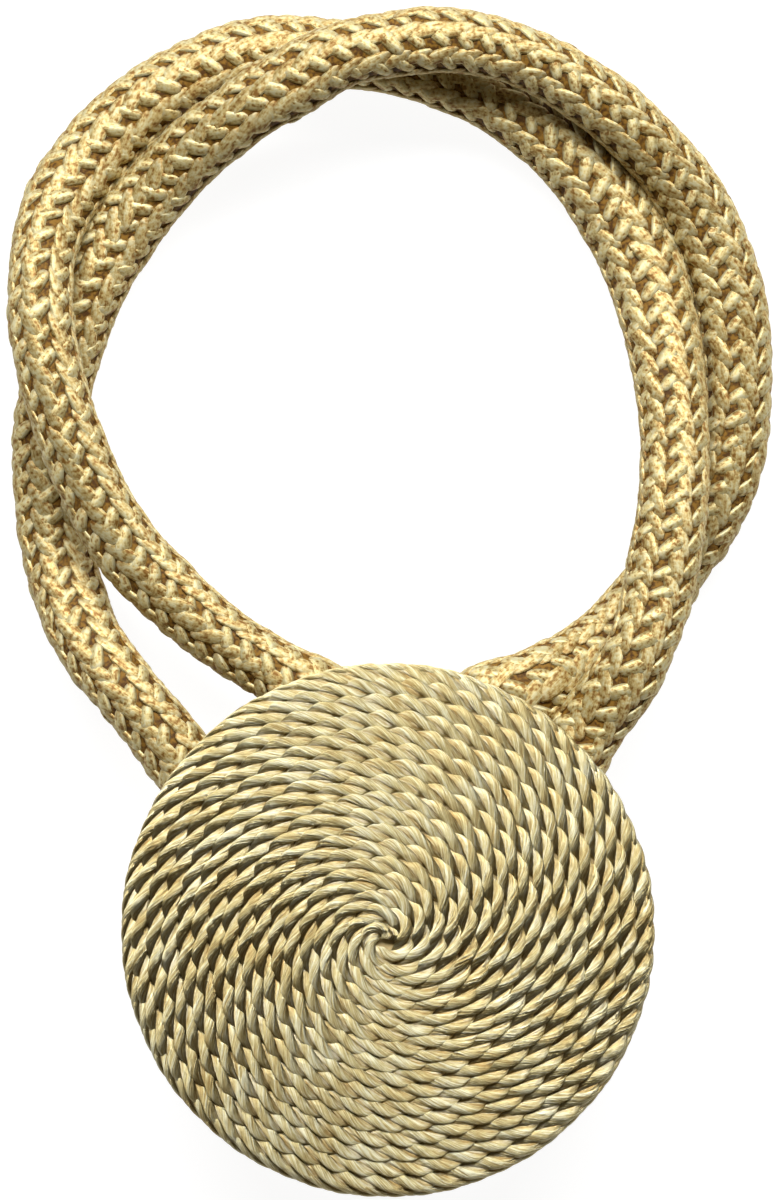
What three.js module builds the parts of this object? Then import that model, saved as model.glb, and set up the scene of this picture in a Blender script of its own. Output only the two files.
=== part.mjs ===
// A curtain tieback: two cord-wound discs that hold each other by magnets, and two braided ropes
// that run from disc to disc as a loop, twisted once and a half around each other.
// Millimetres, +Z up. The closed tieback lies on its back: the origin is under the middle of the
// discs, on the surface that they lie on, +Y points from the discs to the top of the loop, and +Z
// out of the face of the front disc.
import * as THREE from 'three';
import { mergeVertices } from 'three/addons/utils/BufferGeometryUtils.js';

// Driving dimensions
const GAP = 0.3;                    // between pieces that rest on each other
const DISC_RADIUS = 30;
const DISC_THICKNESS = 7;           // from the flat back to the crown
const CROWN_RISE = 3.8;             // how far the face is domed
const CORD_PITCH = 1.73;            // from one turn of the winding to the next
const CORD_GROOVE = 0.5;            // how deep the groove between two turns is
const RIM_ROUND = 0.25;             // how far the rounded rim draws in above and below
const RIM_EDGE = 0.6;               // how far from its face and back it does so
const REST_RADIUS = 9;              // of the pressed spot on which the rear disc lies
const SEAT_RADIUS = 14;             // of the round magnet seat on a disc's back, which the ropes meet
const ROPE_DIAMETER = 7.7;
const ROPE_SIDES = 12;
const ROPE_STEPS = 56;
const COLUMNS = 40;                 // of facets around a disc

// What follows from them
const ROPE_LAYER = ROPE_DIAMETER + 2 * GAP;              // between the backs of the two discs
const SEAT_HEIGHT = (ROPE_LAYER - GAP) / 2;
const REAR_BACK = DISC_THICKNESS;                        // height of the rear disc's back
const FRONT_BACK = REAR_BACK + ROPE_LAYER;               // height of the front disc's back
const FACE_RADIUS = DISC_RADIUS - CORD_PITCH / 2;        // where the rounded rim begins
const TURNS = FACE_RADIUS / CORD_PITCH;
const FULL_TURN = 2 * Math.PI;
const UP = new THREE.Vector3(0, 0, 1);

// The rope's middle line, from hand-placed points x, y, z: out from between the discs, around the
// loop and back. Rope A starts on the left and lies below rope B at the first crossing, above it
// at the top of the loop and below it again at the last one.
const ROUTE_A = [
  [-12.0, 8.0, 11.2], [-17.0, 12.3, 11.2], [-21.6, 17.4, 11.2], [-25.9, 22.6, 11.2],
  [-29.7, 27.0, 10.5], [-33.8, 32.1, 8.3], [-36.4, 38.2, 5.6], [-37.5, 43.5, 4.1],
  [-37.9, 49.1, 3.8], [-37.8, 54.7, 3.75], [-37.3, 59.8, 3.75], [-36.0, 65.4, 3.75],
  [-34.0, 71.4, 3.8], [-29.8, 78.2, 3.9], [-25.6, 83.2, 4.8], [-22.0, 87.0, 6.6],
  [-17.7, 90.5, 8.9], [-11.8, 94.6, 10.9], [-5.4, 97.8, 11.8], [1.3, 99.2, 11.6],
  [6.9, 99.6, 11.2], [12.5, 98.8, 10.6], [17.8, 96.8, 9.8], [22.2, 94.0, 9.1],
  [27.4, 90.0, 7.7], [32.6, 84.8, 5.5], [36.0, 79.0, 4.1], [38.5, 72.5, 3.8],
  [39.5, 66.6, 3.75], [39.6, 61.2, 3.75], [39.0, 56.1, 3.75], [37.8, 50.9, 3.75],
  [36.0, 46.7, 3.75], [33.8, 43.2, 3.75], [31.3, 40.0, 3.75], [28.2, 36.4, 4.0],
  [25.0, 33.1, 5.2], [21.0, 30.4, 7.4], [16.3, 28.0, 10.3], [11.8, 25.0, 11.3],
  [8.2, 20.7, 11.2], [4.8, 13.6, 11.2],
];
const ROUTE_B = [
  [-4.3, 13.7, 11.2], [-6.4, 21.6, 11.2], [-11.2, 27.8, 11.2], [-18.2, 32.9, 10.8],
  [-26.4, 39.9, 10.6], [-29.9, 44.3, 10.9], [-33.7, 50.5, 11.5], [-36.7, 58.4, 11.85],
  [-38.4, 64.8, 11.5], [-39.1, 70.4, 10.7], [-39.0, 75.8, 8.8], [-37.5, 80.7, 6.5],
  [-34.0, 86.0, 4.6], [-29.6, 91.2, 3.9], [-24.5, 94.9, 3.8], [-19.5, 97.2, 3.75],
  [-14.7, 98.3, 3.75], [-9.9, 98.5, 3.75], [-4.8, 98.1, 3.75], [0.8, 97.1, 3.75],
  [8.1, 94.8, 3.75], [14.1, 91.9, 3.75], [20.5, 87.3, 3.85], [26.4, 78.8, 3.95],
  [29.0, 72.9, 4.8], [30.7, 66.7, 6.2], [31.8, 60.6, 7.7], [32.4, 53.6, 9.3],
  [32.2, 47.9, 10.8], [31.6, 42.4, 11.7], [30.6, 37.8, 12.1], [29.5, 34.4, 12.7],
  [28.2, 31.0, 13.1], [26.3, 26.6, 12.7], [23.2, 21.3, 11.3], [19.6, 15.6, 11.2],
  [15.7, 11.0, 11.2], [12.1, 7.8, 11.2],
];

const woundCord = new THREE.MeshStandardMaterial({ color: 0xd8c884, roughness: 0.45, metalness: 0.3 });
const braidedRope = new THREE.MeshStandardMaterial({ color: 0xcdab5f, roughness: 0.4, metalness: 0.5 });

// Height of the disc's face above its flat back. A pressed disc is level inside REST_RADIUS.
function faceHeight(radius, pressed) {
  const levelRadius = pressed ? REST_RADIUS : 0;
  const outward = Math.max(radius - levelRadius, 0) / (FACE_RADIUS - levelRadius);
  return DISC_THICKNESS - CROWN_RISE * outward * outward;
}

// One row of the wound face: a ridge of the cord, or the groove beside it, as it spirals outwards.
function windingRow(row, angle, pressed) {
  const turn = row / 2 - 1 + angle / FULL_TURN;
  const radius = CORD_PITCH * Math.min(Math.max(turn, 0), TURNS);
  const level = pressed && radius < REST_RADIUS + CORD_PITCH;
  const inGroove = row % 2 === 1 && turn > 0 && turn < TURNS && !level;
  return [radius, faceHeight(radius, pressed) - (inGroove ? CORD_GROOVE : 0)];
}

// The disc as one closed skin of rows from the pole of its face to the pole of its magnet seat.
function woundDisc(pressed) {
  const rimTop = DISC_THICKNESS - CROWN_RISE;
  const plainRows = [
    [DISC_RADIUS - RIM_ROUND, rimTop - RIM_EDGE],
    [DISC_RADIUS, rimTop / 2],
    [DISC_RADIUS - RIM_ROUND, RIM_EDGE],
    [FACE_RADIUS, 0],
    [SEAT_RADIUS, 0],
    [SEAT_RADIUS, -SEAT_HEIGHT],
    [0, -SEAT_HEIGHT],
  ];
  const windingRows = 2 * (Math.ceil(TURNS) + 1) + 1;
  const rowCount = windingRows + plainRows.length;
  const positions = [];
  for (let row = 0; row < rowCount; row += 1) {
    for (let column = 0; column <= COLUMNS; column += 1) {
      const angle = FULL_TURN * column / COLUMNS;
      const wound = row < windingRows;
      const [radius, height] = wound ? windingRow(row, angle, pressed) : plainRows[row - windingRows];
      positions.push(radius * Math.cos(angle), radius * Math.sin(angle), height);
    }
  }
  const indices = [];
  for (let row = 0; row < rowCount - 1; row += 1) {
    for (let column = 0; column < COLUMNS; column += 1) {
      const inner = row * (COLUMNS + 1) + column;
      const outer = inner + COLUMNS + 1;
      indices.push(inner, outer, outer + 1, inner, outer + 1, inner + 1);
    }
  }
  return closedSkin(positions, indices);
}

// Joins the points that fall together, at the poles and where one turn becomes the next, and
// leaves out the facets that have no area there.
function closedSkin(positions, indices) {
  const loose = new THREE.BufferGeometry();
  loose.setAttribute('position', new THREE.Float32BufferAttribute(positions, 3));
  loose.setIndex(indices);
  const skin = mergeVertices(loose, 1e-3);
  const corners = skin.index.array;
  const facets = [];
  for (let i = 0; i < corners.length; i += 3) {
    const [a, b, c] = corners.slice(i, i + 3);
    if (a !== b && b !== c && c !== a) {
      facets.push(a, b, c);
    }
  }
  skin.setIndex(facets);
  skin.computeVertexNormals();
  return skin;
}

// A route whose section stands upright all along, so that the flat side below stays below.
class LyingPath extends THREE.CatmullRomCurve3 {
  computeFrenetFrames(segments) {
    const tangents = [];
    const normals = [];
    const binormals = [];
    for (let step = 0; step <= segments; step += 1) {
      const tangent = this.getTangentAt(step / segments);
      const sideways = UP.clone().cross(tangent).normalize();
      tangents.push(tangent);
      normals.push(tangent.clone().cross(sideways));
      binormals.push(tangent.clone().cross(normals[step]));
    }
    return { tangents, normals, binormals };
  }
}

// A rope: a round section with flat facets, drawn along its route.
function rope(route) {
  const path = new LyingPath(route.map(([x, y, z]) => new THREE.Vector3(x, y, z)));
  const corners = [];
  for (let side = 0; side < ROPE_SIDES; side += 1) {
    const angle = FULL_TURN * (side + 0.5) / ROPE_SIDES;
    corners.push(new THREE.Vector2(Math.cos(angle), Math.sin(angle)).multiplyScalar(ROPE_DIAMETER / 2));
  }
  const section = new THREE.Shape(corners);
  return new THREE.ExtrudeGeometry(section, { steps: ROPE_STEPS, extrudePath: path });
}

function piece(name, geometry, material) {
  const mesh = new THREE.Mesh(geometry, material);
  mesh.name = name;
  return mesh;
}

const tieback = new THREE.Group();

const frontDisc = piece('front_disc', woundDisc(false), woundCord);
frontDisc.position.z = FRONT_BACK;
tieback.add(frontDisc);

const rearDisc = piece('rear_disc', woundDisc(true), woundCord);
rearDisc.position.z = REAR_BACK;
rearDisc.rotation.x = Math.PI;
tieback.add(rearDisc);

tieback.add(piece('rope_a', rope(ROUTE_A), braidedRope));
tieback.add(piece('rope_b', rope(ROUTE_B), braidedRope));

export default tieback;
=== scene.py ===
# %% [markdown]
# # A magnetic curtain tieback
# The real object is four pieces that a maker winds, braids and glues: two round discs covered with
# twisted cord, which hold each other by hidden magnets, and two ropes, braided like a round knit,
# that run from disc to disc as a loop and are twisted around each other. It lies on its back,
# closed, and is seen from straight above.
#
# The lesson loads the exact plain solids first, as a frame that stays where it is, and then dresses
# them: every cell makes one thing, in metres, at the place that the frame gives.

# %% Load the frame
import math

import bmesh
import bpy
import numpy as np
from mathutils import Matrix, Vector


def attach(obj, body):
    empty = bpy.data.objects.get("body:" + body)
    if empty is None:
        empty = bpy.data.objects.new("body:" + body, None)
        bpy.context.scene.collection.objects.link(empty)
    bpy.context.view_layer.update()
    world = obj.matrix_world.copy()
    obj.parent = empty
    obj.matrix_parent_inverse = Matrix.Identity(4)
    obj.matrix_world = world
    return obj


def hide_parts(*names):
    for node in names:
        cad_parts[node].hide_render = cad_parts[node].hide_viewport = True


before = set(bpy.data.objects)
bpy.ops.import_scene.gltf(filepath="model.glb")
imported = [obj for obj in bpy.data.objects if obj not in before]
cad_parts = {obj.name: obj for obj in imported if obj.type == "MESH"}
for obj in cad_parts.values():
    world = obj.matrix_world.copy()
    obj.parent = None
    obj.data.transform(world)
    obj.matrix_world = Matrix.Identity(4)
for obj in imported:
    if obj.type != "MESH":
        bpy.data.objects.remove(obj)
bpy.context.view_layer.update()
bpy.ops.object.select_all(action="DESELECT")
MM = 0.001

# %% [markdown]
# ## The camera
# The photograph was taken from straight above, and from far enough that nothing leans. A camera
# high up with a long lens does the same. Its lens follows from two sizes: what the picture's long
# side covers on the object, and how high the camera hangs above it.

# %% Camera
PHOTO_WIDTH = 778                                  # pixels
PHOTO_HEIGHT = 1200                                # pixels
PIXEL = 0.11194 * MM                               # what a pixel covers on the object
DISC_PIXEL = (388, 929)                            # where the photo shows the middle of the disc
CAMERA_HEIGHT = 1.2
FOCUS_HEIGHT = 12 * MM                             # the level at which a pixel has that size
SENSOR = 36.0                                      # millimetres

view_x = (PHOTO_WIDTH / 2 - DISC_PIXEL[0]) * PIXEL
view_y = (DISC_PIXEL[1] - PHOTO_HEIGHT / 2) * PIXEL
view_z = CAMERA_HEIGHT + FOCUS_HEIGHT
bpy.ops.object.camera_add(location=(view_x, view_y, view_z), rotation=(0, 0, 0))
camera = bpy.context.object
camera.name = "camera"
camera.data.sensor_width = SENSOR
camera.data.lens = SENSOR * CAMERA_HEIGHT / (PHOTO_HEIGHT * PIXEL)
camera.data.clip_start = 0.1
camera.data.clip_end = 10.0
bpy.context.scene.camera = camera
print("lens", round(camera.data.lens), "mm")

# %% [markdown]
# ## The two routes
# A rope is a fixed length of something limp, so its middle line comes before its looks. The lines
# below are given in millimetres: out from between the discs, around the loop, and back in. The
# ropes cross three times, on the left, at the top and on the right, and rope B lies above rope A
# at the first and the last of them.

# %% Routes
ROUTE_A = [
    (-12.0, 8.0, 11.2), (-17.0, 12.3, 11.2), (-21.6, 17.4, 11.2), (-25.9, 22.6, 11.2),
    (-29.7, 27.0, 10.5), (-33.8, 32.1, 8.3), (-36.4, 38.2, 5.6), (-37.5, 43.5, 4.1),
    (-37.9, 49.1, 3.8), (-37.8, 54.7, 3.75), (-37.3, 59.8, 3.75), (-36.0, 65.4, 3.75),
    (-34.0, 71.4, 3.8), (-29.8, 78.2, 3.9), (-25.6, 83.2, 4.8), (-22.0, 87.0, 6.6),
    (-17.7, 90.5, 8.9), (-11.8, 94.6, 10.9), (-5.4, 97.8, 11.8), (1.3, 99.2, 11.6),
    (6.9, 99.6, 11.2), (12.5, 98.8, 10.6), (17.8, 96.8, 9.8), (22.2, 94.0, 9.1),
    (27.4, 90.0, 7.7), (32.6, 84.8, 5.5), (36.0, 79.0, 4.1), (38.5, 72.5, 3.8),
    (39.5, 66.6, 3.75), (39.6, 61.2, 3.75), (39.0, 56.1, 3.75), (37.8, 50.9, 3.75),
    (36.0, 46.7, 3.75), (33.8, 43.2, 3.75), (31.3, 40.0, 3.75), (28.2, 36.4, 4.0),
    (25.0, 33.1, 5.2), (21.0, 30.4, 7.4), (16.3, 28.0, 10.3), (11.8, 25.0, 11.3),
    (8.2, 20.7, 11.2), (4.8, 13.6, 11.2),
]
ROUTE_B = [
    (-4.3, 13.7, 11.2), (-6.4, 21.6, 11.2), (-11.2, 27.8, 11.2), (-18.2, 32.9, 10.8),
    (-26.4, 39.9, 10.6), (-29.9, 44.3, 10.9), (-33.7, 50.5, 11.5), (-36.7, 58.4, 11.85),
    (-38.4, 64.8, 11.5), (-39.1, 70.4, 10.7), (-39.0, 75.8, 8.8), (-37.5, 80.7, 6.5),
    (-34.0, 86.0, 4.6), (-29.6, 91.2, 3.9), (-24.5, 94.9, 3.8), (-19.5, 97.2, 3.75),
    (-14.7, 98.3, 3.75), (-9.9, 98.5, 3.75), (-4.8, 98.1, 3.75), (0.8, 97.1, 3.75),
    (8.1, 94.8, 3.75), (14.1, 91.9, 3.75), (20.5, 87.3, 3.85), (26.4, 78.8, 3.95),
    (29.0, 72.9, 4.8), (30.7, 66.7, 6.2), (31.8, 60.6, 7.7), (32.4, 53.6, 9.3),
    (32.2, 47.9, 10.8), (31.6, 42.4, 11.7), (30.6, 37.8, 12.1), (29.5, 34.4, 12.7),
    (28.2, 31.0, 13.1), (26.3, 26.6, 12.7), (23.2, 21.3, 11.3), (19.6, 15.6, 11.2),
    (15.7, 11.0, 11.2), (12.1, 7.8, 11.2),
]
print("rope A runs through", len(ROUTE_A), "points and rope B through", len(ROUTE_B))

# %% [markdown]
# ## From points to curves
# A Bezier curve with automatic handles runs smoothly through such points. Its section keeps its top
# side up all along, which "Z_UP" says, so the columns of stitches don't wander round the rope. A
# point's tilt turns the section there, which the wound cord needs later, at the edge of a disc.


# %% Route curves
def route_curve(name, route, leans=None):
    """A smooth curve through a route's points, with the section turned by leans, if given."""
    data = bpy.data.curves.new(name, "CURVE")
    data.dimensions = "3D"
    data.twist_mode = "Z_UP"
    data.resolution_u = 12
    spline = data.splines.new("BEZIER")
    spline.bezier_points.add(len(route) - 1)
    for point, place, lean in zip(spline.bezier_points, route, leans or [0.0] * len(route)):
        point.co = Vector(place) * MM
        point.tilt = lean
        point.handle_left_type = "AUTO"
        point.handle_right_type = "AUTO"
    curve = bpy.data.objects.new(name, data)
    bpy.context.scene.collection.objects.link(curve)
    bpy.context.view_layer.update()
    return curve


def points_along(curve):
    """The points in which Blender draws a curve."""
    drawn = curve.to_mesh()
    points = [vertex.co.copy() for vertex in drawn.vertices]
    curve.to_mesh_clear()
    return points


def length_of(points):
    """The length of the straight steps from point to point."""
    return sum((b - a).length for a, b in zip(points, points[1:]))


curve_a = route_curve("route_a", ROUTE_A)
curve_b = route_curve("route_b", ROUTE_B)
for curve in (curve_a, curve_b):
    print(curve.name, round(length_of(points_along(curve)) / MM, 1), "mm long")

# %% [markdown]
# ## Helpers for hand work
# The pieces are modelled the way one works in the viewport: add a primitive, go into edit mode,
# pick vertices by where they are, move them, and finish with modifiers. These few helpers keep
# that short.


# %% Helpers
def only(obj):
    """Selects one object and makes it the active one."""
    bpy.ops.object.select_all(action="DESELECT")
    obj.select_set(True)
    bpy.context.view_layer.objects.active = obj


def apply_modifier(obj, kind, **settings):
    """Adds one modifier with these settings and applies it at once."""
    modifier = obj.modifiers.new(kind.lower(), kind)
    for name, value in settings.items():
        setattr(modifier, name, value)
    only(obj)
    bpy.ops.object.modifier_apply(modifier=modifier.name)


def place_in_mesh(obj):
    """Moves an object's place, turn and size into its mesh, so that it sits at the origin."""
    only(obj)
    bpy.ops.object.transform_apply(location=True, rotation=True, scale=True)
    return obj


def turned_copy(obj, turn):
    """A copy of an object, with a mesh of its own that is moved by a matrix."""
    copy = obj.copy()
    copy.data = obj.data.copy()
    copy.data.transform(turn)
    bpy.context.scene.collection.objects.link(copy)
    return copy


def joined(objects, name):
    """One object out of several."""
    only(objects[0])
    for obj in objects:
        obj.select_set(True)
    bpy.ops.object.join()
    objects[0].name = name
    objects[0].data.name = name
    return objects[0]


def faces_out(obj):
    """Merges vertices that fall together and turns every face outwards."""
    only(obj)
    bpy.ops.object.mode_set(mode="EDIT")
    bpy.ops.mesh.select_all(action="SELECT")
    bpy.ops.mesh.remove_doubles(threshold=0.001 * MM)
    bpy.ops.mesh.normals_make_consistent(inside=False)
    bpy.ops.object.mode_set(mode="OBJECT")
    bpy.ops.object.shade_smooth()


def close_ends(obj):
    """Fills the open ends of a tube."""
    only(obj)
    bpy.ops.object.mode_set(mode="EDIT")
    bpy.ops.mesh.select_mode(type="EDGE")
    bpy.ops.mesh.select_all(action="DESELECT")
    bpy.ops.mesh.select_non_manifold()
    bpy.ops.mesh.edge_face_add()
    bpy.ops.object.mode_set(mode="OBJECT")


def triangles(obj):
    """How many triangles an object's faces make."""
    return sum(len(face.vertices) - 2 for face in obj.data.polygons)


# %% [markdown]
# ## Helpers for many vertices at once
# A rope has tens of thousands of vertices. NumPy reads and writes all of them in one go, which is
# far quicker than a loop. An attribute gives each vertex a number or a vector of its own, which
# stays with it however the mesh is bent, and which a material can read by its name.


# %% Vertex helpers
def vertex_places(obj):
    """Where an object's vertices are, as rows of x, y and z."""
    places = np.empty(3 * len(obj.data.vertices))
    obj.data.vertices.foreach_get("co", places)
    return places.reshape(-1, 3)


def set_vertex_places(obj, places):
    """Moves an object's vertices to these places."""
    obj.data.vertices.foreach_set("co", places.ravel())
    obj.data.update()


def add_attribute(obj, name, values):
    """Gives each vertex a number or a vector, which a material can read by its name."""
    vectors = values.ndim == 2
    layer = obj.data.attributes.new(name, "FLOAT_VECTOR" if vectors else "FLOAT", "POINT")
    layer.data.foreach_set("vector" if vectors else "value", values.ravel())


# %% [markdown]
# ## The two legs of a stitch
# The ropes are round knits of a glittering metallic floss, with seven columns of stitches. Each
# stitch shows two legs. One is a short fat leg that leans well over and stands free of the next,
# so that a brown hole opens beside it. The other is long and lean and runs on into the next one,
# as a nearly closed strip. Either is a bundle of parallel fibres. It starts as a sphere whose two
# poles are turned to the leg's ends. The sphere is stretched, flattened and tapered, and its ends
# dive into the rope. Before that, every vertex keeps its place on the plain sphere in an attribute
# called "strand". The floss's material reads it, so its fibres follow the leg wherever that lies.

# %% Legs
COLUMNS = 7                                        # of stitches around a rope
LEG_RADIUS = 3.42 * MM                             # of a leg's middle from the rope's middle line
LEG_SEGMENTS = 8
LEG_RINGS = 8
BLUNT = 0.4                                        # how much fuller the ends are than a sphere's
FAT_SIZE = (3.2 * MM, 1.66 * MM, 0.84 * MM)        # length, width and thickness
FAT_DIVE = 0.2 * MM                                # of its ends into the rope
FAT_TAPER = 0.15                                   # how much wider its start is than its middle
FAT_LEAN = math.radians(45)                        # from the rope's own direction, to the right
LONG_SIZE = (4.9 * MM, 1.8 * MM, 0.7 * MM)
LONG_DIVE = 0.07 * MM
LONG_LEAN = math.radians(16)                       # to the left
LONG_PLACE = 2.1 * MM                              # around the rope from the middle of the fat leg


def leg(size, dive, taper, lean, place, material):
    """A leg that lies on a rope along X, leans and sits at its place around the rope."""
    bpy.ops.mesh.primitive_uv_sphere_add(segments=LEG_SEGMENTS, ring_count=LEG_RINGS, radius=1.0)
    obj = bpy.context.object
    bpy.ops.object.mode_set(mode="EDIT")
    bpy.ops.mesh.select_all(action="SELECT")
    bpy.ops.transform.rotate(value=math.pi / 2, orient_axis="Y", center_override=(0, 0, 0))
    bpy.ops.object.mode_set(mode="OBJECT")
    add_attribute(obj, "strand", vertex_places(obj))
    for vertex in obj.data.vertices:
        along, across, up = vertex.co
        vertex.co.x = along * size[0] / 2
        vertex.co.y = across * size[1] / 2 * (1 - taper * along) * (1 + BLUNT * along ** 2)
        vertex.co.z = up * size[2] / 2 - dive * along ** 2
    obj.data.materials.append(material)
    turn = Matrix.Rotation(lean, 4, "Z")
    lift = Matrix.Translation((0, 0, LEG_RADIUS))
    roll = Matrix.Rotation(place / LEG_RADIUS, 4, "X")
    obj.data.transform(roll @ lift @ turn)
    return obj


floss_fat = bpy.data.materials.new("floss_fat")
floss_long = bpy.data.materials.new("floss_long")
stitch = (
    leg(FAT_SIZE, FAT_DIVE, FAT_TAPER, -FAT_LEAN, 0.0, floss_fat),
    leg(LONG_SIZE, LONG_DIVE, 0.0, LONG_LEAN, LONG_PLACE, floss_long),
)
print("a leg has", triangles(stitch[0]), "triangles")

# %% [markdown]
# ## One course of stitches
# A course is one ring of seven stitches. The knitter goes round in a spiral, so each column's
# stitches sit three sevenths of a stitch further on than its neighbour's, which closes after seven.

# %% Course
STITCH_PITCH = 2.7 * MM                            # from one stitch to the next along the rope
COLUMN_SHIFT = 3 / 7                               # of a stitch, from column to column


def course_of_stitches():
    """One ring of seven stitches around the X axis."""
    copies = []
    for column in range(COLUMNS):
        turn = Matrix.Rotation(2 * math.pi * column / COLUMNS, 4, "X")
        shift = Matrix.Translation((column * COLUMN_SHIFT % 1 * STITCH_PITCH, 0, 0))
        for part in stitch:
            copies.append(turned_copy(part, shift @ turn))
    return joined(copies, "course")


course = course_of_stitches()
for part in stitch:
    bpy.data.objects.remove(part)
print("a course has", triangles(course), "triangles")

# %% [markdown]
# ## Where the ropes are pressed
# A rope is soft. Where it is bent, or lies on or under the other rope, it is pressed wider on one
# side or drawn narrower, and it is a little lower than wide under its own weight. Each line of the
# tables is one such stretch, in millimetres: the x and y of its middle, half its length, and the
# share by which the rope is wider to the left and to the right, seen along the rope.

# %% Pressed stretches
FLATTENED = 0.97                                   # of its height, under its own weight
WIDER_A = [
    (-23.0, 19.5, 8.0, 0.12, 0.0),
    (-33.0, 37.0, 13.0, 0.0, 0.17),
    (-37.7, 53.0, 19.0, 0.17, 0.0),
    (-37.7, 57.0, 9.0, 0.08, 0.0),
    (-33.0, 72.0, 16.0, 0.0, 0.12),
    (-27.0, 81.0, 18.0, 0.18, 0.0),
    (-10.5, 95.3, 7.0, 0.0, 0.16),
    (15.5, 98.0, 12.0, -0.14, 0.0),
    (31.0, 87.0, 9.0, -0.08, 0.0),
    (37.0, 74.0, 24.0, 0.0, 0.24),
    (38.6, 53.5, 9.0, 0.1, 0.0),
    (35.5, 45.0, 9.0, 0.13, 0.0),
    (30.0, 38.5, 6.0, 0.25, 0.0),
    (19.0, 29.0, 14.0, 0.36, -0.1),
    (13.5, 26.5, 9.0, 0.15, 0.0),
    (10.0, 24.5, 8.0, 0.0, 0.45),
]
WIDER_B = [
    (-8.0, 25.5, 7.0, 0.0, 0.45),
    (-17.5, 32.5, 12.0, 0.0, -0.16),
    (-22.0, 36.0, 15.0, 0.13, 0.0),
    (-29.5, 44.5, 9.0, 0.13, -0.08),
    (-39.0, 75.5, 9.0, -0.12, 0.0),
    (-34.5, 85.5, 9.0, 0.08, 0.0),
    (-34.0, 86.0, 24.0, 0.06, 0.16),
    (-12.0, 98.3, 12.0, 0.15, 0.0),
    (0.5, 97.0, 8.0, 0.0, -0.1),
    (8.1, 94.8, 10.0, 0.0, -0.08),
    (19.0, 88.0, 10.0, 0.0, 0.12),
    (24.5, 82.5, 8.0, 0.0, 0.07),
    (28.5, 75.0, 24.0, 0.28, 0.16),
    (31.5, 46.0, 22.0, 0.0, 0.13),
    (31.0, 40.5, 8.0, 0.0, 0.12),
    (24.5, 21.5, 10.0, -0.24, 0.0),
    (24.0, 23.0, 14.0, 0.0, 0.32),
    (21.5, 18.5, 9.0, 0.0, 0.2),
]


def press_wider(obj, points, stretches):
    """Widens a straight rope in stretches that are given by their place on its route."""
    steps = [(b - a).length for a, b in zip(points, points[1:])]
    reach = np.concatenate([[0.0], np.cumsum(steps)])
    plan = np.array([(point.x, point.y) for point in points])
    corners = vertex_places(obj)
    wider = np.ones(len(corners))
    for x, y, half_length, left, right in stretches:
        nearest = np.argmin(np.hypot(plan[:, 0] - x * MM, plan[:, 1] - y * MM))
        away = np.clip((corners[:, 0] - reach[nearest]) / (half_length * MM), -1, 1)
        share = np.where(corners[:, 1] > 0, left, right)
        wider += share * (0.5 + 0.5 * np.cos(math.pi * away))
    corners[:, 1] *= wider
    corners[:, 2] *= FLATTENED
    set_vertex_places(obj, corners)


print(len(WIDER_A), "stretches on rope A and", len(WIDER_B), "on rope B")

# %% [markdown]
# ## A little chance
# No hand-made rope is regular, so every leg is moved, turned and swollen by a little chance. The
# chance is seeded, so that it falls the same way each time. All legs have the same number of
# vertices, which lets one array take them leg by leg.

# %% Chance
LEG_VERTICES = LEG_SEGMENTS * (LEG_RINGS - 1) + 2
CHANCE_PLACE = 0.07 * MM
CHANCE_TURN = math.radians(8)
CHANCE_SIZE = 0.1


def make_uneven(obj, chance):
    """Gives each leg of a straight row a place, turn and size of its own."""
    places = vertex_places(obj)
    each = places.reshape(-1, LEG_VERTICES, 3)
    middle = each.mean(axis=1, keepdims=True)
    count = len(each)
    arm = each - middle
    arm *= 1 + chance.uniform(-CHANCE_SIZE, CHANCE_SIZE, (count, 1, 1))
    spin = chance.uniform(-CHANCE_TURN, CHANCE_TURN, (count, 1, 1))
    outward = middle * (0, 1, 1)
    outward /= np.linalg.norm(outward, axis=2, keepdims=True)
    arm += spin * np.cross(outward, arm)
    each[:] = middle + arm + chance.uniform(-CHANCE_PLACE, CHANCE_PLACE, (count, 1, 3))
    set_vertex_places(obj, places)


# %% [markdown]
# ## Two knitted ropes
# An Array modifier repeats the course to the rope's length, and a Curve modifier lays the row of
# courses along its route, after the legs are made uneven and the pressed stretches widened. A tube
# runs inside, so that nothing shows through the holes. It stands for the floss below the legs,
# whose single threads can't be told apart there, and it is painted dark brown, as painted shade.

# %% Ropes
INNER_RADIUS = 3.46 * MM
INNER_SIDES = 16
INNER_STEPS = 200                                  # rings along the tube, so that it can bend


def inner_tube(length):
    """A closed tube along X, in rings that can follow a bend."""
    bpy.ops.mesh.primitive_circle_add(
        vertices=INNER_SIDES, radius=INNER_RADIUS, rotation=(0, math.pi / 2, 0)
    )
    tube = bpy.context.object
    place_in_mesh(tube)
    apply_modifier(
        tube, "SCREW", axis="X", angle=0, screw_offset=length, steps=INNER_STEPS,
        render_steps=INNER_STEPS,
    )
    close_ends(tube)
    return tube


def knitted_rope(name, curve, stretches, seed):
    """A rope of stitches along a curve."""
    points = points_along(curve)
    length = length_of(points)
    courses = round(length / STITCH_PITCH)
    stitches = turned_copy(course, Matrix.Identity(4))
    apply_modifier(
        stitches, "ARRAY", count=courses, use_relative_offset=False, use_constant_offset=True,
        constant_offset_displace=(STITCH_PITCH, 0, 0),
    )
    make_uneven(stitches, np.random.default_rng(seed))
    tube = inner_tube(courses * STITCH_PITCH)
    tube.data.materials.append(inner_floss_painted_shade)
    faces_out(tube)
    only(stitches)
    bpy.ops.object.shade_smooth()
    rope = joined([stitches, tube], name)
    rope.data.transform(Matrix.Diagonal((length / (courses * STITCH_PITCH), 1, 1, 1)))
    press_wider(rope, points, stretches)
    apply_modifier(rope, "CURVE", object=curve, deform_axis="POS_X")
    print(name, "has", courses, "courses and", triangles(rope), "triangles")
    return rope


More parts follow.
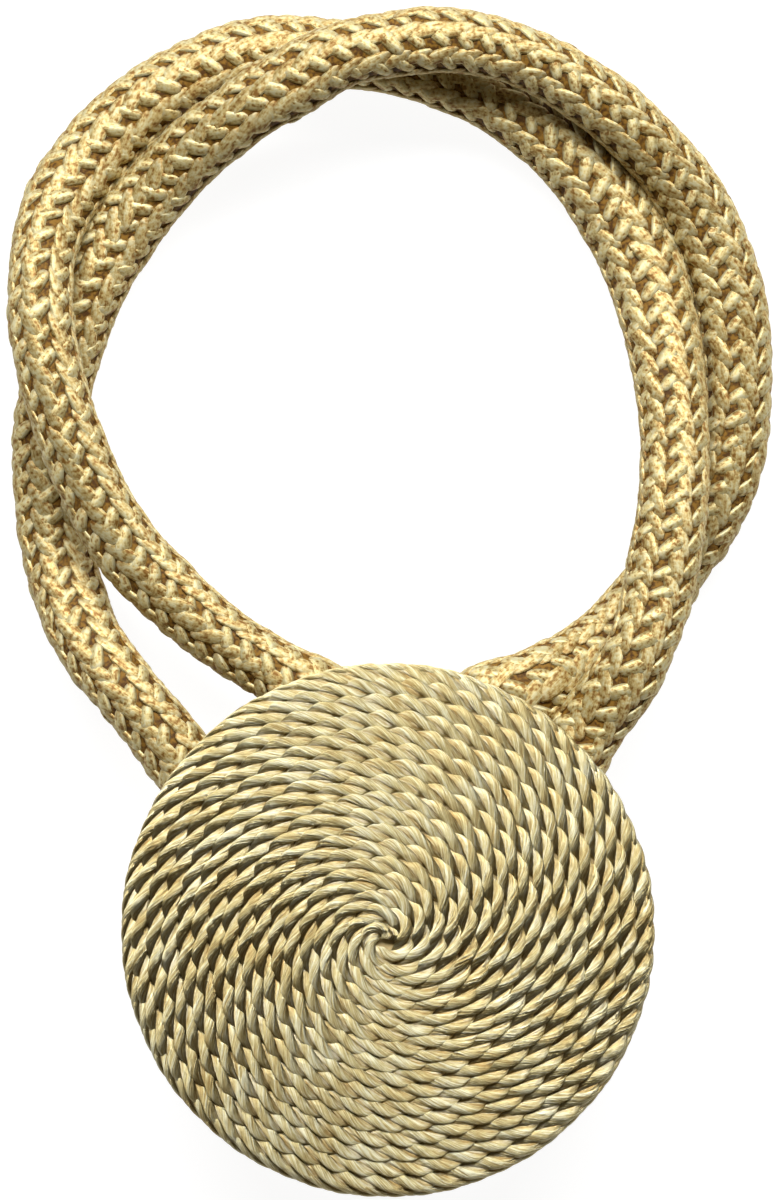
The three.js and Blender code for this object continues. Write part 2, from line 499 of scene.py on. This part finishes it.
inner_floss_painted_shade = bpy.data.materials.new("inner_floss_painted_shade")
rope_a = knitted_rope("braid_a", curve_a, WIDER_A, seed=11)
rope_b = knitted_rope("braid_b", curve_b, WIDER_B, seed=12)
bpy.data.objects.remove(course)

# %% [markdown]
# ## The ropes on the root
# The ropes are limp cords, and both ends of each go back into the object, between the two discs.
# Here each rope hangs on the object's root, its plain solid from the frame is hidden, and its route
# curve is removed.

for rope, curve, node in ((rope_a, curve_a, "rope_a"), (rope_b, curve_b, "rope_b")):
    points = points_along(curve)
    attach(rope, "root")
    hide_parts(node)
    bpy.data.objects.remove(curve)

# %% [markdown]
# ## The path of the wound cord
# Each disc is covered with one long cord of two plies, glued down in a spiral from the middle
# outwards. The path is a spiral on the domed face, whose height is the same formula as the solid's,
# and the spiral's eye sits a little off the middle. After the last turn on the face the cord goes
# over the edge, leaning more and more, within one turn, and lies twice around and down the rim.

# %% Spiral
CORD_PITCH = 1.73 * MM
FACE_RADIUS = 29.135 * MM
DISC_THICKNESS = 7.0 * MM
CROWN_RISE = 3.8 * MM
REST_RADIUS = 9.0 * MM                             # of the spot on which the lower disc lies
CORD_DEPTH = 0.51 * MM                             # of the cord's middle line below the face
EYE = (-0.56 * MM, -0.9 * MM)                      # the spiral's middle, from the disc's
START_RADIUS = 0.72 * MM
LAST_RADIUS = 28.4 * MM                            # of the last turn on the face
RIM_RADIUS = 29.25 * MM                            # of the turns that lie against the rim
RIM_TURNS = 2.0
RIM_LEVEL = 1.1 * MM                               # of the cord's end above the back
EDGE_TURN = 1.0                                    # in which the cord goes over the edge
POINTS_PER_TURN = 16


def face_height(radius, pressed):
    """Height of a disc's face above its back. The lower disc's crown is pressed level."""
    level = REST_RADIUS if pressed else 0.0
    outward = max(radius - level, 0.0) / (FACE_RADIUS - level)
    return DISC_THICKNESS - CROWN_RISE * outward ** 2


def spiral_points(pressed):
    """The cord's middle line on a disc whose back lies at z = 0, and how it leans at each point."""
    points = []
    leans = []
    face_turns = (LAST_RADIUS - START_RADIUS) / CORD_PITCH
    steps = round((face_turns + RIM_TURNS) * POINTS_PER_TURN)
    for step in range(steps + 1):
        turn = step / POINTS_PER_TURN
        angle = 2 * math.pi * turn
        radius = min(START_RADIUS + CORD_PITCH * turn, LAST_RADIUS)
        top = face_height(radius, pressed) - CORD_DEPTH
        past_face = max(turn - face_turns, 0.0)
        over = min(past_face / EDGE_TURN, 1.0)
        down = past_face / RIM_TURNS
        height = top + (RIM_LEVEL - top) * down
        fade = 1 - radius / LAST_RADIUS
        radius += (RIM_RADIUS - LAST_RADIUS) * over
        x = radius * math.cos(angle) + EYE[0] * fade
        y = radius * math.sin(angle) + EYE[1] * fade
        points.append((x / MM, y / MM, height / MM))
        leans.append(over * math.pi / 2)
    return points, leans


spiral = route_curve("spiral", *spiral_points(False))
spiral_pressed = route_curve("spiral_pressed", *spiral_points(True))
print("the cord on a disc is", round(length_of(points_along(spiral)) / MM), "mm long")

# %% [markdown]
# ## The wound cord
# Two plies are twisted into the cord. Two small circles side by side are its section, and a Screw
# modifier turns them half a turn at a time while it draws them out, as a rope walk does. Glue and
# the next turn press the real cord flat and wide, so the straight cord is squeezed before a Curve
# modifier winds it up along the spiral. The "strand" attribute keeps where each vertex is around
# its own ply and along it, for the fibres, and "outward" how far it is from the cord's middle.

# %% Wound cord
PLY_RADIUS = 0.57 * MM
PLY_OFFSET = 0.38 * MM                             # of a ply's middle from the cord's
PLY_SIDES = 10
HALF_TWIST = 3.1 * MM                              # along the cord
HALF_TWIST_STEPS = 7
PRESSED_WIDE = 1.22                                # of its width, against the next turn
PRESSED_FLAT = 0.54                                # of its height, where it is glued down


def two_plies():
    """The cord's section: two circles side by side in the plane across X."""
    circles = []
    for side in (1, -1):
        bpy.ops.mesh.primitive_circle_add(
            vertices=PLY_SIDES, radius=PLY_RADIUS, rotation=(0, math.pi / 2, 0),
            location=(0, side * PLY_OFFSET, 0),
        )
        circles.append(place_in_mesh(bpy.context.object))
    return joined(circles, "plies")


def wound_cord(name, curve):
    """The twisted cord, drawn out straight and wound up along a curve."""
    length = length_of(points_along(curve))
    twists = round(length / HALF_TWIST)
    cord = two_plies()
    apply_modifier(
        cord, "SCREW", axis="X", angle=math.pi, screw_offset=length / twists, iterations=twists,
        steps=HALF_TWIST_STEPS, render_steps=HALF_TWIST_STEPS,
    )
    places = vertex_places(cord)
    ring = np.arange(len(places)) // (2 * PLY_SIDES)
    around = 2 * math.pi * (np.arange(len(places)) % PLY_SIDES) / PLY_SIDES
    strand = np.stack([np.cos(around), np.sin(around), ring / HALF_TWIST_STEPS], axis=1)
    add_attribute(cord, "strand", strand)
    outward = np.hypot(places[:, 1], places[:, 2]) / (PLY_OFFSET + PLY_RADIUS)
    add_attribute(cord, "outward", outward)
    close_ends(cord)
    cord.data.transform(Matrix.Diagonal((1, PRESSED_WIDE, PRESSED_FLAT, 1)))
    apply_modifier(cord, "CURVE", object=curve, deform_axis="POS_X")
    faces_out(cord)
    cord.name = name
    cord.data.name = name
    cord.data.materials.append(rayon)
    print(name, "has", twists, "half twists and", triangles(cord), "triangles")
    return cord


rayon = bpy.data.materials.new("rayon")
front_winding = wound_cord("front_winding", spiral)
rear_winding = wound_cord("rear_winding", spiral_pressed)
for curve in (spiral, spiral_pressed):
    bpy.data.objects.remove(curve)

# %% [markdown]
# ## The disc under the cord
# The cord is glued on a domed disc, whose flat back carries the round seat of the magnet. Little
# of it shows, between the turns and from the side. A cylinder gives its rim, the top is inset in
# steps that follow the dome, and the seat is inset and extruded from the back.

# %% Disc
CARRIER_RADIUS = 28.9 * MM
CARRIER_SINK = 0.9 * MM                            # of its dome below the cord's crests
SEAT_RADIUS = 14.0 * MM
SEAT_HEIGHT = 4.0 * MM
DISC_SIDES = 96
DOME_STEPS = 12
EDGE_ROUND = 0.25 * MM
SHARP_EDGE = math.radians(40)                      # from where two faces meet in a crease


def pick_face(obj, up):
    """Selects the highest or the lowest face, in edit mode."""
    mesh = bmesh.from_edit_mesh(obj.data)
    faces = sorted(mesh.faces, key=lambda face: face.calc_center_median().z)
    chosen = faces[-1] if up else faces[0]
    for face in mesh.faces:
        face.select_set(face == chosen)
    bmesh.update_edit_mesh(obj.data)


def disc_carrier(name, pressed):
    """The domed disc with the magnet's seat on its back, which lies at z = 0."""
    rim = face_height(CARRIER_RADIUS, pressed) - CARRIER_SINK
    bpy.ops.mesh.primitive_cylinder_add(
        vertices=DISC_SIDES, radius=CARRIER_RADIUS, depth=rim, location=(0, 0, rim / 2)
    )
    disc = place_in_mesh(bpy.context.object)
    bpy.ops.object.mode_set(mode="EDIT")
    bpy.ops.mesh.select_mode(type="FACE")
    pick_face(disc, True)
    radius = CARRIER_RADIUS
    height = rim
    for step in range(DOME_STEPS - 1):
        smaller = CARRIER_RADIUS * (1 - (step + 1) / DOME_STEPS)
        higher = face_height(smaller, pressed) - CARRIER_SINK
        bpy.ops.mesh.inset(thickness=radius - smaller, use_even_offset=False)
        bpy.ops.transform.translate(value=(0, 0, higher - height))
        radius = smaller
        height = higher
    pick_face(disc, False)
    bpy.ops.mesh.inset(thickness=CARRIER_RADIUS - SEAT_RADIUS, use_even_offset=False)
    bpy.ops.mesh.extrude_region_move(TRANSFORM_OT_translate={"value": (0, 0, -SEAT_HEIGHT)})
    bpy.ops.object.mode_set(mode="OBJECT")
    apply_modifier(disc, "BEVEL", width=EDGE_ROUND, segments=2, limit_method="ANGLE")
    only(disc)
    bpy.ops.object.shade_smooth_by_angle(angle=SHARP_EDGE)
    disc.name = name
    disc.data.name = name
    disc.data.materials.append(felt)
    size = [round(side / MM, 1) for side in disc.dimensions]
    print(name, "measures", size, "and has", triangles(disc), "triangles")
    return disc


felt = bpy.data.materials.new("felt")
front_carrier = disc_carrier("front_carrier", False)
rear_carrier = disc_carrier("rear_carrier", True)

# %% [markdown]
# ## Both discs in their places
# The front disc lies face up on top. The rear one is the same thing turned over, so that the two
# magnet seats meet in the middle, with the ropes' ends between the discs.

# %% Place the discs
ROPE_LAYER = 8.3 * MM                              # between the backs of the two discs
REAR_BACK = DISC_THICKNESS
FRONT_BACK = REAR_BACK + ROPE_LAYER
front_place = Matrix.Translation((0, 0, FRONT_BACK))
rear_place = Matrix.Translation((0, 0, REAR_BACK)) @ Matrix.Rotation(math.pi, 4, "X")
placed = (
    (front_winding, front_place, "front_disc", "wound_cord"),
    (front_carrier, front_place, "front_disc", "disc_back"),
    (rear_winding, rear_place, "rear_disc", "wound_cord"),
    (rear_carrier, rear_place, "rear_disc", "disc_back"),
)
for piece, place, node, slot in placed:
    piece.data.transform(place)
    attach(piece, "root")
    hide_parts(node)
    low = min(vertex.co.z for vertex in piece.data.vertices) / MM
    high = max(vertex.co.z for vertex in piece.data.vertices) / MM
    print(piece.name, "from", round(low, 2), "to", round(high, 2), "mm high")

# %% [markdown]
# ## Shader maths in Python
# Node trees are easier to read as sums. A Wire is one output of a node, and adding or multiplying
# wires adds Math nodes.


# %% Wire
class Wire:
    """One output of a node, on which Python's operators add Math nodes."""

    def __init__(self, finish, socket):
        self.finish = finish
        self.socket = socket

    def math(self, operation, first, second):
        """Adds one Math node."""
        return self.finish.node("ShaderNodeMath", {"operation": operation}, {0: first, 1: second})

    def __add__(self, other):
        return self.math("ADD", self, other)

    def __radd__(self, other):
        return self.math("ADD", other, self)

    def __rsub__(self, other):
        return self.math("SUBTRACT", other, self)

    def __mul__(self, other):
        return self.math("MULTIPLY", self, other)

    def __rmul__(self, other):
        return self.math("MULTIPLY", other, self)

    def __pow__(self, other):
        return self.math("POWER", self, other)


# %% [markdown]
# ## A material as an object
# A Finish is one material. Its method "node" adds any node that isn't a sum, with its settings and
# with values or wires for its sockets, and the short methods below it name the few that come often.


# %% Finish
class Finish:
    """A material that is filled with nodes."""

    def __init__(self, material):
        material.use_nodes = True
        self.tree = material.node_tree
        self.tree.nodes.clear()

    def node(self, kind, settings=None, values=None, output=0):
        """Adds a node; a value may be a wire, which is linked, or a plain number or colour."""
        node = self.tree.nodes.new(kind)
        for name, value in (settings or {}).items():
            if name == "stops":
                self.set_stops(node.color_ramp, value)
            else:
                setattr(node, name, value)
        for name, value in (values or {}).items():
            if isinstance(value, Wire):
                self.tree.links.new(value.socket, node.inputs[name])
            else:
                node.inputs[name].default_value = value
        return Wire(self, node.outputs[output]) if node.outputs else node

    def set_stops(self, ramp, stops):
        """Gives a ramp its stops, each a place and a colour."""
        while len(ramp.elements) < len(stops):
            ramp.elements.new(1.0)
        for element, (place, colour) in zip(ramp.elements, stops):
            element.position = place
            element.color = colour

    def mix(self, factor, first, second):
        """A colour between two others."""
        values = {0: factor, 6: first, 7: second}
        return self.node("ShaderNodeMix", {"data_type": "RGBA"}, values, output=2)

    def ramp(self, factor, stops):
        """A colour from a row of stops, which the factor runs along."""
        return self.node("ShaderNodeValToRGB", {"stops": stops}, {"Fac": factor})

    def noise(self, vector, scale, detail=2.0, roughness=0.5):
        """A cloudy number between 0 and 1."""
        values = {"Vector": vector, "Scale": scale, "Detail": detail, "Roughness": roughness}
        return self.node("ShaderNodeTexNoise", values=values)

    def stretched(self, vector, scale):
        """A vector, each of whose three numbers is multiplied by one of scale."""
        return self.node("ShaderNodeVectorMath", {"operation": "MULTIPLY"}, {0: vector, 1: scale})

    def strand(self):
        """The attribute that says where on its strand a point is."""
        return self.node("ShaderNodeAttribute", {"attribute_name": "strand"}, output=1)

    def outward(self):
        """The attribute that says how far out from the middle of its cord a point is."""
        return self.node("ShaderNodeAttribute", {"attribute_name": "outward"}, output=2)

    def between(self, value, low, high):
        """A number that goes from 0 to 1 while the value goes from low to high."""
        values = {"Value": value, "From Min": low, "From Max": high}
        return self.node("ShaderNodeMapRange", {"interpolation_type": "SMOOTHSTEP"}, values)

    def bump(self, height, distance, strength=1.0):
        """A surface that rises by the distance where the height is 1."""
        values = {"Strength": strength, "Distance": distance, "Height": height}
        return self.node("ShaderNodeBump", values=values)

    def place(self):
        """Where on its object a point is, in metres."""
        return self.node("ShaderNodeTexCoord", output=3)

    def output(self, shader):
        """Makes this shader the material's surface."""
        self.node("ShaderNodeOutputMaterial", values={"Surface": shader})


def rgb(red, green, blue):
    """A colour given as on a screen, from 0 to 255, in the linear light that nodes use."""
    linear = []
    for value in (red / 255, green / 255, blue / 255):
        linear.append(value / 12.92 if value < 0.04045 else ((value + 0.055) / 1.055) ** 2.4)
    return (*linear, 1.0)


# %% [markdown]
# ## Satin rayon
# The wound cord is of pale gold rayon, whose long fibres shine along each ply. Noise that is
# stretched along the strand gives the fibres. It bends the light as a bump, and tints the colour.
# A second, slower noise makes some lengths a little paler or browner, as dyed yarn is, and the
# groove between the plies is painted browner, as painted shade. Satin fibres spread a highlight
# across themselves. The shader's Anisotropic does the same, and its rotation sets where on the
# disc the plies flash: as two opposite fans, at the top and at the lower left, with deep grooves
# between them.

# %% Rayon
finish = Finish(rayon)
fibres = finish.noise(finish.stretched(finish.strand(), (2.6, 2.6, 1.5)), 1.0, 3.0, 0.7)
patches = finish.noise(finish.place(), 260.0, 2.0)
tone = fibres * 0.75 + patches * 0.25
thread = finish.ramp(tone, [
    (0.38, rgb(164, 140, 88)),
    (0.50, rgb(201, 188, 137)),
    (0.60, rgb(223, 219, 189)),
])
# Painted shade: the groove between the plies, near the cord's middle, is mixed toward brown.
painted_groove_shade = 1 - finish.between(finish.outward(), 0.55, 0.8)
colour = finish.mix(painted_groove_shade * 0.3, thread, rgb(126, 80, 30))
bump = finish.bump(fibres, 0.13 * MM)
shader = finish.node("ShaderNodeBsdfPrincipled", values={
    "Base Color": colour,
    "Metallic": 0.97,
    "Roughness": 0.36 + 0.16 * patches,
    "Anisotropic": 1.0,
    "Anisotropic Rotation": 0.285,
    "Normal": bump,
})
finish.output(shader)
print("rayon has", len(finish.tree.nodes), "nodes")

# %% [markdown]
# ## Metallic floss
# The stitches are of a floss of flat metal-coated fibres that glitter. Fine stripes run along each
# leg, and small facets catch the light here and there as bumps, while the same noise paints pale
# and brown specks into the colour as painted glints. Towards a leg's ends, where it dives under its
# neighbours, it is painted brown, as painted shade. The legs lean either way on the rope, so each
# kind has a finish of its own, whose highlight is turned by the same lean, and the long leg is
# painted a little darker than the fat one, as painted shade. The floss below them is plain and
# painted dark brown, as painted shade.

# %% Floss
def floss_finish(material, turn, dark, middle, bright):
    """The floss of one kind of leg; turn is the leg's lean as a part of a full turn."""
    finish = Finish(material)
    strand = finish.strand()
    fibres = finish.noise(finish.stretched(strand, (0.8, 3.4, 3.4)), 1.0, 3.0, 0.7)
    glitter = finish.noise(finish.place(), 2000.0, 2.0, 0.5)
    patches = finish.noise(finish.place(), 800.0, 2.0)
    along = finish.node("ShaderNodeSeparateXYZ", values={0: strand})
    # Painted shade: the leg's ends, where it dives under its neighbours, are mixed toward brown.
    dive = (along * along) ** 1.4
    # The glitter noise paints pale and brown specks into the colour, as painted glints; it also
    # feeds the bump.
    tone = fibres * 0.4 + glitter * 0.4 + patches * 0.2
    gold = finish.ramp(tone, [(0.41, dark), (0.49, middle), (0.57, bright)])
    colour = finish.mix(dive * 0.5, gold, rgb(120, 74, 20))
    height = fibres * 0.4 + glitter * 0.6
    bump = finish.bump(height, 0.09 * MM)
    shader = finish.node("ShaderNodeBsdfPrincipled", values={
        "Base Color": colour,
        "Metallic": 0.5,
        "Roughness": 0.5 + 0.15 * patches,
        "Anisotropic": 0.7,
        "Anisotropic Rotation": 0.25 + turn,
        "Normal": bump,
    })
    finish.output(shader)
    print(material.name, "has", len(finish.tree.nodes), "nodes")


# The long leg's colours are a little darker than the fat leg's, as painted shade.
floss_finish(
    floss_fat, FAT_LEAN / (2 * math.pi), rgb(132, 96, 40), rgb(199, 182, 124), rgb(205, 198, 158)
)
floss_finish(
    floss_long, -LONG_LEAN / (2 * math.pi), rgb(126, 88, 32), rgb(185, 162, 102), rgb(203, 194, 150)
)

finish = Finish(inner_floss_painted_shade)
grain = finish.noise(finish.place(), 2200.0, 2.0)
# Painted shade: the floss below the legs is coloured dark brown, as it lies in shade in the holes.
shade = finish.mix(finish.between(grain, 0.35, 0.65), rgb(70, 44, 10), rgb(124, 90, 30))
shader = finish.node("ShaderNodeBsdfPrincipled", values={
    "Base Color": shade,
    "Roughness": 0.7,
    "Specular IOR Level": 0.2,
})
finish.output(shader)
print("inner_floss_painted_shade has", len(finish.tree.nodes), "nodes")

# %% [markdown]
# ## Felt
# The disc's back is plain felt, which is matt and a little fuzzy. It shows only from the side and
# between the ropes. Fine noise gives the fuzz, and a little sheen makes its edges paler.

# %% Felt
finish = Finish(felt)
fuzz = finish.noise(finish.place(), 1400.0, 4.0, 0.7)
shade = finish.mix(fuzz, rgb(150, 128, 82), rgb(190, 170, 124))
bump = finish.bump(fuzz, 0.2 * MM, 0.6)
shader = finish.node("ShaderNodeBsdfPrincipled", values={
    "Base Color": shade,
    "Roughness": 0.95,
    "Sheen Weight": 0.3,
    "Normal": bump,
})
finish.output(shader)
print("felt has", len(finish.tree.nodes), "nodes")

# %% [markdown]
# ## Floor
# The photo has a pure white ground with hardly a shadow. A plain floor that glows nearly white by
# itself gives that, like a light table, and also lights the object's sides a little from below.

# %% Floor
bpy.ops.mesh.primitive_plane_add(size=4.0)
floor = bpy.context.object
floor.name = "floor"
paper = bpy.data.materials.new("paper")
finish = Finish(paper)
speck = finish.noise(finish.place(), 3.0, 2.0)
shade = finish.mix(speck, (0.12, 0.12, 0.12, 1.0), (0.16, 0.16, 0.16, 1.0))
finish.output(finish.node("ShaderNodeBsdfPrincipled", values={
    "Base Color": shade,
    "Roughness": 0.9,
    "Emission Color": (1.0, 1.0, 1.0, 1.0),
    "Emission Strength": 0.93,
}))
floor.data.materials.append(paper)
print("the floor is", round(floor.dimensions.x, 1), "m wide")

# %% [markdown]
# ## Light
# One long soft light stands beyond the top of the picture, so that the side of every crest that
# looks there is bright and the other one dark. It is long and low like a window, which draws the
# flash on the disc out into fans. A faint warm room fills the rest.

# %% Light
LIGHT_AZIMUTH = math.radians(90)                   # from the picture's right; 90 is its top
LIGHT_ELEVATION = math.radians(49)
LIGHT_DISTANCE = 1.0
LIGHT_WIDTH = 1.2
LIGHT_HEIGHT = 0.3
LIGHT_POWER = 22.5                                 # watts
LIGHT_AIM = Vector((0, 0.037, 0.01))               # the middle of the object
ROOM_COLOUR = (1.0, 0.85, 0.62, 1.0)
ROOM_STRENGTH = 0.08

level = LIGHT_DISTANCE * math.cos(LIGHT_ELEVATION)
rise = LIGHT_DISTANCE * math.sin(LIGHT_ELEVATION)
offset = Vector((level * math.cos(LIGHT_AZIMUTH), level * math.sin(LIGHT_AZIMUTH), rise))
bpy.ops.object.light_add(type="AREA", location=LIGHT_AIM + offset)
light = bpy.context.object
light.name = "key"
light.rotation_euler = (-offset).to_track_quat("-Z", "Y").to_euler()
light.data.shape = "RECTANGLE"
light.data.size = LIGHT_WIDTH
light.data.size_y = LIGHT_HEIGHT
light.data.energy = LIGHT_POWER
print("the light stands at", tuple(round(side, 2) for side in light.location))

world = bpy.data.worlds.new("room")
world.use_nodes = True
background = world.node_tree.nodes["Background"]
background.inputs["Color"].default_value = ROOM_COLOUR
background.inputs["Strength"].default_value = ROOM_STRENGTH
bpy.context.scene.world = world
bpy.context.scene.view_settings.view_transform = "Standard"
